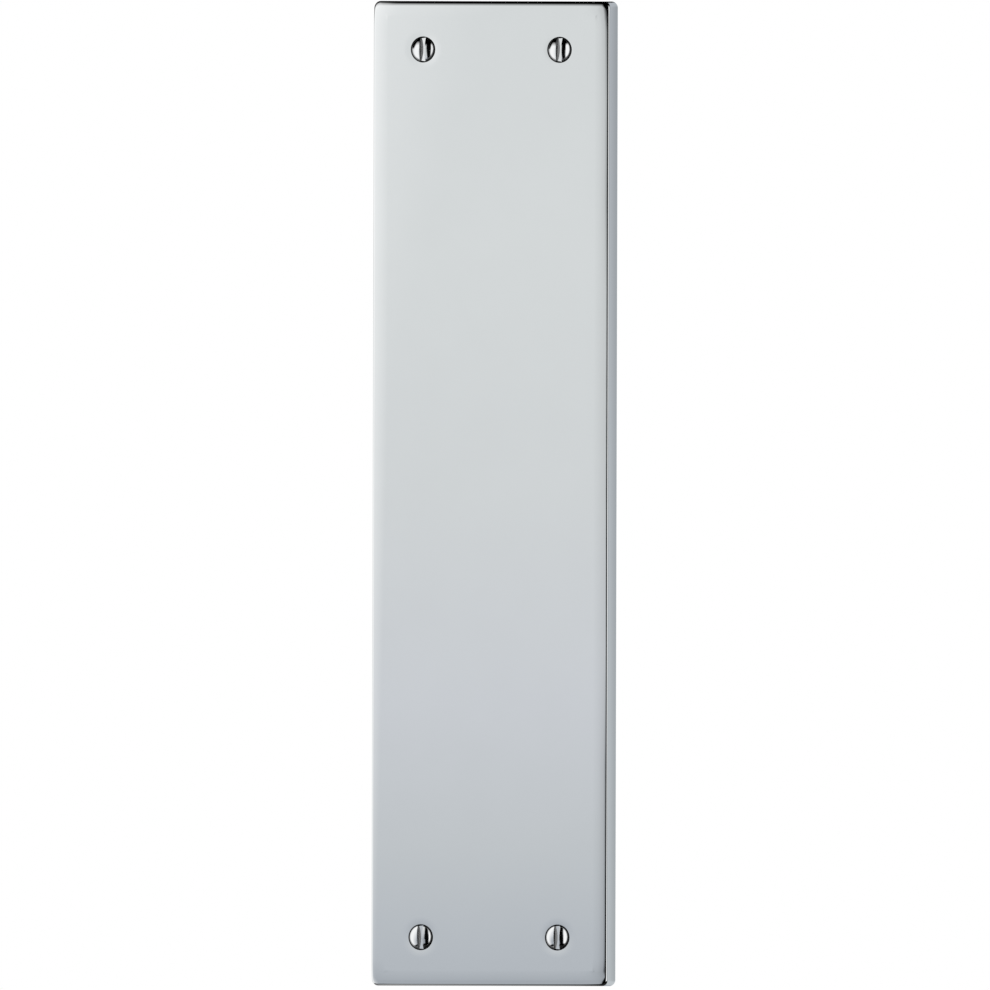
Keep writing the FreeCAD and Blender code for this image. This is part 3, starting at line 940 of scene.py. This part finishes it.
# Dull plating: the fineness of its mottling and of its pits.
MOTTLE_FINENESS = 180.0
PIT_FINENESS = 1500.0


def polishing_marks():
    """Node group: the faint grain and clouding that a polishing mop leaves in metal."""
    name = "polishing marks"
    if name in bpy.data.node_groups:
        return bpy.data.node_groups[name]
    tree = bpy.data.node_groups.new(name, "ShaderNodeTree")
    sockets = (
        ("Place", "INPUT", "Vector"), ("Fineness", "INPUT", "Float"),
        ("Tone", "OUTPUT", "Float"), ("Haze", "OUTPUT", "Float"), ("Height", "OUTPUT", "Float"),
    )
    for socket, way, kind in sockets:
        tree.interface.new_socket(socket, in_out=way, socket_type="NodeSocket" + kind)
    place, fineness = tree.nodes.new("NodeGroupInput").outputs[:2]
    cloud = add(tree, "ShaderNodeTexNoise", Vector=place, Scale=fineness, Detail=3.0,
                Roughness=0.5).outputs["Fac"]
    stretched = add(tree, "ShaderNodeMapping", Vector=place, Scale=GRAIN_STRETCH).outputs[0]
    fine = math_node(tree, "MULTIPLY", fineness, GRAIN_FINENESS)
    grain = add(tree, "ShaderNodeTexNoise", Vector=stretched, Scale=fine, Detail=2.0,
                Roughness=0.6).outputs["Fac"]
    tone = math_node(tree, "MULTIPLY_ADD", cloud, CLOUD_TONE, 1 - CLOUD_TONE / 2)
    add(tree, "NodeGroupOutput", Tone=tone,
        Haze=math_node(tree, "MULTIPLY", cloud, grain),
        Height=math_node(tree, "MULTIPLY_ADD", grain, 0.3, cloud))
    return tree


def new_material(name):
    """A material that uses nodes, and its tree."""
    material = bpy.data.materials.new(name)
    material.use_nodes = True
    return material, material.node_tree


def finish_metal(tree, tone, rough, bump):
    """Feeds a metal's shader with its colour, its roughness and its bump."""
    connect(tree, tree.nodes["Principled BSDF"], Metallic=1.0, Base_Color=tone, Roughness=rough,
            Normal=bump.outputs["Normal"])


def polished_chrome(name, base, roughness, fineness, ripple, grime=None):
    """Bright chrome with faint polishing marks, and with painted shade in a given dark colour where the
    piece's attribute has it.
    """
    material, tree = new_material(name)
    place = tree.nodes.new("ShaderNodeTexCoord").outputs["Object"]
    marks = add(tree, "ShaderNodeGroup", node_tree=polishing_marks())
    connect(tree, marks, Place=place, Fineness=fineness)
    metal = mix_node(tree, 1.0, base, marks.outputs["Tone"], "MULTIPLY")
    rough = math_node(tree, "MULTIPLY_ADD", marks.outputs["Haze"], 0.05, roughness - 0.0125)
    if grime:
        shade_part = add(tree, "ShaderNodeAttribute", attribute_name="grime").outputs["Fac"]
        metal = mix_node(tree, shade_part, metal, grime)
        rough = math_node(tree, "MULTIPLY_ADD", shade_part, 0.35, rough)
    bump = add(tree, "ShaderNodeBump", Height=marks.outputs["Height"], Strength=ripple,
               Distance=0.001)
    finish_metal(tree, metal, rough, bump)
    return material


def dull_plating(name, base, roughness):
    """Plating over metal that was never polished: matt, mottled and slightly pitted."""
    material, tree = new_material(name)
    place = tree.nodes.new("ShaderNodeTexCoord").outputs["Object"]
    mottle = add(tree, "ShaderNodeTexNoise", Vector=place, Scale=MOTTLE_FINENESS, Detail=4.0,
                 Roughness=0.6).outputs["Fac"]
    pits = add(tree, "ShaderNodeTexNoise", Vector=place, Scale=PIT_FINENESS, Detail=2.0,
               Roughness=0.5).outputs["Fac"]
    dark = tuple(0.8 * channel for channel in base)
    tone = ramp_node(tree, mottle, 0.0, 1.0, ((0.3, dark), (0.7, tuple(base))))
    rough = math_node(tree, "MULTIPLY_ADD", mottle, 0.2, roughness - 0.1)
    bump = add(tree, "ShaderNodeBump", Height=pits, Strength=0.12, Distance=0.0003)
    finish_metal(tree, tone, rough, bump)
    return material


# The tables of the tent's light give a place and a brightness there. Heights are in millimetres
# from the plate's middle and reach up and down by this much.
TENT_HEIGHTS = 400.0
# How bright the front of the tent is, and the part beside the plate, by height.
TENT_FRONT = (
    (-200, (0.45, 0.48, 0.52)), (-141, (0.571, 0.602, 0.643)), (-109, (0.651, 0.677, 0.704)),
    (-65, (0.722, 0.741, 0.778)), (0, (0.78, 0.80, 0.811)), (75, (0.823, 0.843, 0.846)),
)
TENT_SIDE = ((-140, (0.50, 0.53, 0.55)), (0, (0.47, 0.50, 0.53)), (135, (0.42, 0.445, 0.475)))
# How bright the front is round the plate, by azimuth in degrees from straight in front of it.
# The dark gap on its right is what the edge of the face reflects as a dark line.
TENT_LEFT = ((-180, 0.95), (-140, 0.9), (-120, 0.45), (-92, 0.4), (-80, 0.4), (-60, 1.0), (-12, 1.0))
TENT_ROUND = TENT_LEFT + ((0, 0.85), (2.5, 0.003), (20, 0.003), (21, 0.6), (46, 0.6))
# The same at the heights of the plate's two ends, where the gap is wider.
TENT_ROUND_ENDS = TENT_LEFT + (
    (-6, 0.92), (-3.6, 0.83), (-1.2, 0.74), (0.8, 0.003), (29, 0.003), (30, 0.6), (46, 0.6),
)
# How much of the second of these two counts, by height.
TENT_ENDS = (
    (-150, 1.0), (-130, 0.8), (-85, 0.7), (-50, 0.0), (60, 0.0), (90, 0.5), (122, 0.4), (136, 0.65),
    (150, 1.0),
)
# How far the gap leans to the right of that, in tens of degrees, by height.
TENT_GAP_LEAN = ((-190, 0.4), (-172, 0.07), (-60, 0.07), (0, 0.0))
# Where the part beside the plate begins, and how bright it is, by azimuth.
TENT_BESIDE = ((44.0, 0.0), (46.0, 1.0))
TENT_SIDE_ROUND = (
    (46, 0.8), (70, 0.85), (95, 0.9), (130, 0.9), (148, 0.85), (155, 1.22), (168, 1.2),
)
# Where the white cards stand, by azimuth. The left one leans.
LEFT_CARD = ((-100, 0.0), (-86, 0.25), (-76, 0.7), (-66, 1.0), (-54, 1.0), (-28.5, 0.0))
RIGHT_CARD = ((22.5, 0.0), (25.5, 1.0), (42.0, 1.0), (44.0, 0.0))
# How high the bright part reaches, how soft its upper end is, and how low it reaches, by
# azimuth, as parts of the height that the tables reach.
TENT_TOP = (
    (-100, 0.38), (-68, 0.38), (-58, 0.62), (-45, 0.66), (-36, 0.62), (-30, 0.59), (5, 0.60),
    (35, 0.705), (60, 0.73),
)
TENT_TOP_SOFT = ((-72, 0.05), (-60, 0.25), (-42, 0.25), (-28, 0.175))
TENT_BOTTOM = ((-100, 0.73), (-60, 0.725), (-38, 0.70), (-20, 0.80), (0, 0.72), (35, 0.678))
# How soft its lower end is, in millimetres.
TENT_BOTTOM_SOFT = 24.0
# How bright the table under it is, by azimuth.
TENT_TABLE = ((-90, 0.1), (-60, 0.33), (-45, 0.42), (-35, 0.36), (-28, 0.2), (-20, 0.07), (2, 0.02))
# Beyond this part of the tent's radius lies its wall, and within it the table.
TENT_WALL = 0.994


def tent_material(settings):
    """Light on the wall of the tent. Its front, sides and white cards differ, and its ends are dark."""
    material, tree = new_material("light_tent")
    tree.nodes.clear()
    place = tree.nodes.new("ShaderNodeTexCoord").outputs["Object"]
    x, y, z = add(tree, "ShaderNodeSeparateXYZ", Vector=place).outputs

    def calc(operation, *values, clamp=False):
        return math_node(tree, operation, *values, clamp=clamp)

    turn = calc("DEGREES", calc("ARCTAN2", x, calc("MULTIPLY", y, -1.0)))
    height = calc("MULTIPLY", z, 1000.0)

    def by_height(stops):
        return ramp_node(tree, height, -TENT_HEIGHTS, TENT_HEIGHTS, stops)

    def by_turn(stops, source=turn):
        return ramp_node(tree, source, -180.0, 180.0, stops)

    gap = calc("MULTIPLY_ADD", by_height(TENT_GAP_LEAN), -10.0, turn)
    around = mix_node(tree, by_height(TENT_ENDS), by_turn(TENT_ROUND, gap),
                      by_turn(TENT_ROUND_ENDS, gap))
    front = mix_node(tree, 1.0, by_height(TENT_FRONT), around, "MULTIPLY")
    side = mix_node(tree, 1.0, by_height(TENT_SIDE), by_turn(TENT_SIDE_ROUND), "MULTIPLY")
    wall = mix_node(tree, by_turn(TENT_BESIDE), front, side)
    leaning = calc("MULTIPLY_ADD", height, -settings.card_lean, turn)
    card = calc("MAXIMUM", by_turn(LEFT_CARD, leaning), by_turn(RIGHT_CARD))
    wall = mix_node(tree, card, wall, [settings.card_brightness] * 3)
    soft = by_turn(TENT_TOP_SOFT)
    half_soft = calc("MULTIPLY", soft, TENT_HEIGHTS / 2)
    above = calc("SUBTRACT", calc("MULTIPLY_ADD", by_turn(TENT_TOP), TENT_HEIGHTS, half_soft), height)
    above = calc("DIVIDE", above, calc("MULTIPLY", soft, TENT_HEIGHTS), clamp=True)
    below = calc("MULTIPLY_ADD", by_turn(TENT_BOTTOM), TENT_HEIGHTS, TENT_BOTTOM_SOFT / 2)
    below = calc("DIVIDE", calc("ADD", below, height), TENT_BOTTOM_SOFT, clamp=True)
    radius = calc("SQRT", calc("ADD", calc("POWER", x, 2.0), calc("POWER", y, 2.0)))
    on_wall = calc("GREATER_THAN", radius, settings.tent_radius * TENT_WALL)
    lit = calc("MULTIPLY", calc("MULTIPLY", above, below), on_wall)
    wall = mix_node(tree, lit, (0.0, 0.0, 0.0), wall)
    table = calc("MULTIPLY", calc("LESS_THAN", height, 0.0), calc("SUBTRACT", 1.0, on_wall))
    table = calc("MULTIPLY", table, by_turn(TENT_TABLE))
    glow = add(tree, "ShaderNodeEmission", Color=mix_node(tree, table, wall, (1.0, 1.0, 1.0)))
    add(tree, "ShaderNodeOutputMaterial", Surface=glow.outputs[0])
    return material


# The floor's own glow where the camera sees it, and the world's light where it isn't seen.
FLOOR_GLOW = 0.4
WORLD_LIGHT = 0.55


def floor_material(background):
    """A pale floor: white to the camera where it is lit, and darker in the object's shadow."""
    material, tree = new_material("pale_floor")
    surface = connect(tree, tree.nodes["Principled BSDF"], Base_Color=(0.82, 0.82, 0.82),
                      Roughness=1.0, Specular_IOR_Level=0.0)
    rays = tree.nodes.new("ShaderNodeLightPath").outputs
    strength = math_node(tree, "MULTIPLY", rays["Is Camera Ray"], FLOOR_GLOW)
    glow = add(tree, "ShaderNodeEmission", Color=background, Strength=strength)
    both = tree.nodes.new("ShaderNodeAddShader")
    tree.links.new(surface.outputs[0], both.inputs[0])
    tree.links.new(glow.outputs[0], both.inputs[1])
    connect(tree, tree.nodes["Material Output"], Surface=both.outputs[0])
    return material


def make_world(background):
    """White behind the object for the camera and in reflections, and plain light elsewhere."""
    world = bpy.data.worlds.new("studio")
    bpy.context.scene.world = world
    world.use_nodes = True
    tree = world.node_tree
    tree.nodes.clear()
    rays = tree.nodes.new("ShaderNodeLightPath").outputs
    seen = math_node(tree, "ADD", rays["Is Camera Ray"], rays["Is Glossy Ray"])
    seen = math_node(tree, "ADD", seen, rays["Is Transmission Ray"], clamp=True)
    strength = math_node(tree, "MULTIPLY_ADD", seen, 1 - WORLD_LIGHT, WORLD_LIGHT)
    sky = add(tree, "ShaderNodeBackground", Color=background, Strength=strength)
    add(tree, "ShaderNodeOutputWorld", Surface=sky.outputs[0])


def add_stage_piece(bm, name, material):
    """A part of the studio, which isn't part of the object."""
    piece = mesh_object(bm, name, [material])
    return piece


def make_camera(settings, front):
    """The camera at the photograph's viewing angle. It stands far off, so it has no perspective."""
    data = bpy.data.cameras.new("camera")
    data.type = "ORTHO"
    data.ortho_scale = settings.frame_height
    data.clip_start = 0.1
    data.clip_end = settings.distance * 3
    camera = make_object("camera", data)
    back = Vector((math.sin(settings.azimuth), -math.cos(settings.azimuth), 0))
    right = Vector((math.cos(settings.azimuth), math.sin(settings.azimuth), 0))
    aim = Vector((0, front, 0)) + right * settings.aim_across
    aim.z -= settings.aim_down
    camera.location = aim + back * settings.distance
    camera.rotation_mode = "QUATERNION"
    straight = (-back).to_track_quat("-Z", "Y")
    camera.rotation_quaternion = straight @ Quaternion((0, 0, 1), settings.roll)
    bpy.context.scene.camera = camera


# The soft lamps: where each stands, its side in metres and its power in watts.
LAMPS = (
    ("lamp_left", (-1.6, -2.0, 1.8), 1.6, 60.0),
    ("lamp_right", (1.8, -1.2, 1.5), 1.6, 30.0),
    ("lamp_back", (0.3, 2.0, 2.0), 1.8, 30.0),
)
# The floor lies this far below the plate's lower end.
FLOOR_GAP = 0.0002


def add_lamp(name, place, size, power):
    """A soft square lamp that faces the object and stays out of its reflections."""
    data = bpy.data.lights.new(name, "AREA")
    data.shape = "SQUARE"
    data.size = size
    data.energy = power
    lamp = make_object(name, data)
    lamp.location = place
    lamp.rotation_euler = Vector(place).to_track_quat("Z", "Y").to_euler()
    lamp.visible_glossy = False
    lamp.visible_camera = False


class FINGERPLATE_OT_stage(bpy.types.Operator):
    """Make the camera, the floor and the light"""

    bl_idname = "finger_plate.make_stage"
    bl_label = "Make the stage"
    bl_options = {"REGISTER", "UNDO"}

    def execute(self, context):
        scene = context.scene
        settings = scene.finger_plate_studio
        plate = scene.finger_plate_sizes
        scene.view_settings.view_transform = "Standard"
        make_camera(settings, -plate.depth)
        make_world(settings.background)
        bm = bmesh.new()
        bmesh.ops.create_grid(bm, x_segments=1, y_segments=1, size=settings.floor_size / 2)
        bmesh.ops.translate(bm, verts=bm.verts[:], vec=(0, 0, -plate.height / 2 - FLOOR_GAP))
        floor = add_stage_piece(bm, "floor", floor_material(settings.background))
        floor.visible_glossy = False
        bm = bmesh.new()
        bmesh.ops.create_cone(
            bm, cap_ends=True, segments=128, radius1=settings.tent_radius,
            radius2=settings.tent_radius, depth=settings.tent_height * 2,
        )
        tent = add_stage_piece(bm, "light_tent", tent_material(settings))
        tent.visible_camera = False
        tent.visible_diffuse = False
        tent.visible_shadow = False
        tent.visible_transmission = False
        for lamp in LAMPS:
            add_lamp(*lamp)
        return {"FINISHED"}


class FINGERPLATE_PT_panel(bpy.types.Panel):
    """Lists the parts of the finger plate and their settings"""

    bl_idname = "FINGERPLATE_PT_panel"
    bl_label = "Finger plate"
    bl_space_type = "VIEW_3D"
    bl_region_type = "UI"
    bl_category = "Finger plate"

    def draw(self, context):
        layout = self.layout
        scene = context.scene
        parts = (
            ("finger_plate.make_stage", scene.finger_plate_studio),
            ("finger_plate.make_plate", scene.finger_plate_sizes),
            ("finger_plate.make_screws", scene.finger_plate_screws),
        )
        for operator, settings in parts:
            box = layout.box()
            box.operator(operator)
            for name in settings.__annotations__:
                box.prop(settings, name)
        box = layout.box()
        for name in scene.finger_plate_finishes.__annotations__:
            box.prop(scene.finger_plate_finishes, name)


SETTINGS = {
    "finger_plate_sizes": PlateSizes,
    "finger_plate_screws": ScrewSizes,
    "finger_plate_finishes": Finishes,
    "finger_plate_studio": StudioSettings,
}
CLASSES = (
    *SETTINGS.values(),
    FINGERPLATE_OT_stage,
    FINGERPLATE_OT_plate,
    FINGERPLATE_OT_screws,
    FINGERPLATE_PT_panel,
)


def register():
    """Adds the classes and their settings."""
    for item in CLASSES:
        bpy.utils.register_class(item)
    for name, group in SETTINGS.items():
        setattr(bpy.types.Scene, name, PointerProperty(type=group))


def unregister():
    """Takes the classes and their settings out again."""
    for name in SETTINGS:
        delattr(bpy.types.Scene, name)
    for item in reversed(CLASSES):
        bpy.utils.unregister_class(item)


def main():
    """Makes everything."""
    register()
    bpy.ops.finger_plate.make_stage()
    bpy.ops.finger_plate.make_plate()
    bpy.ops.finger_plate.make_screws()


if __name__ == "__main__":
    main()
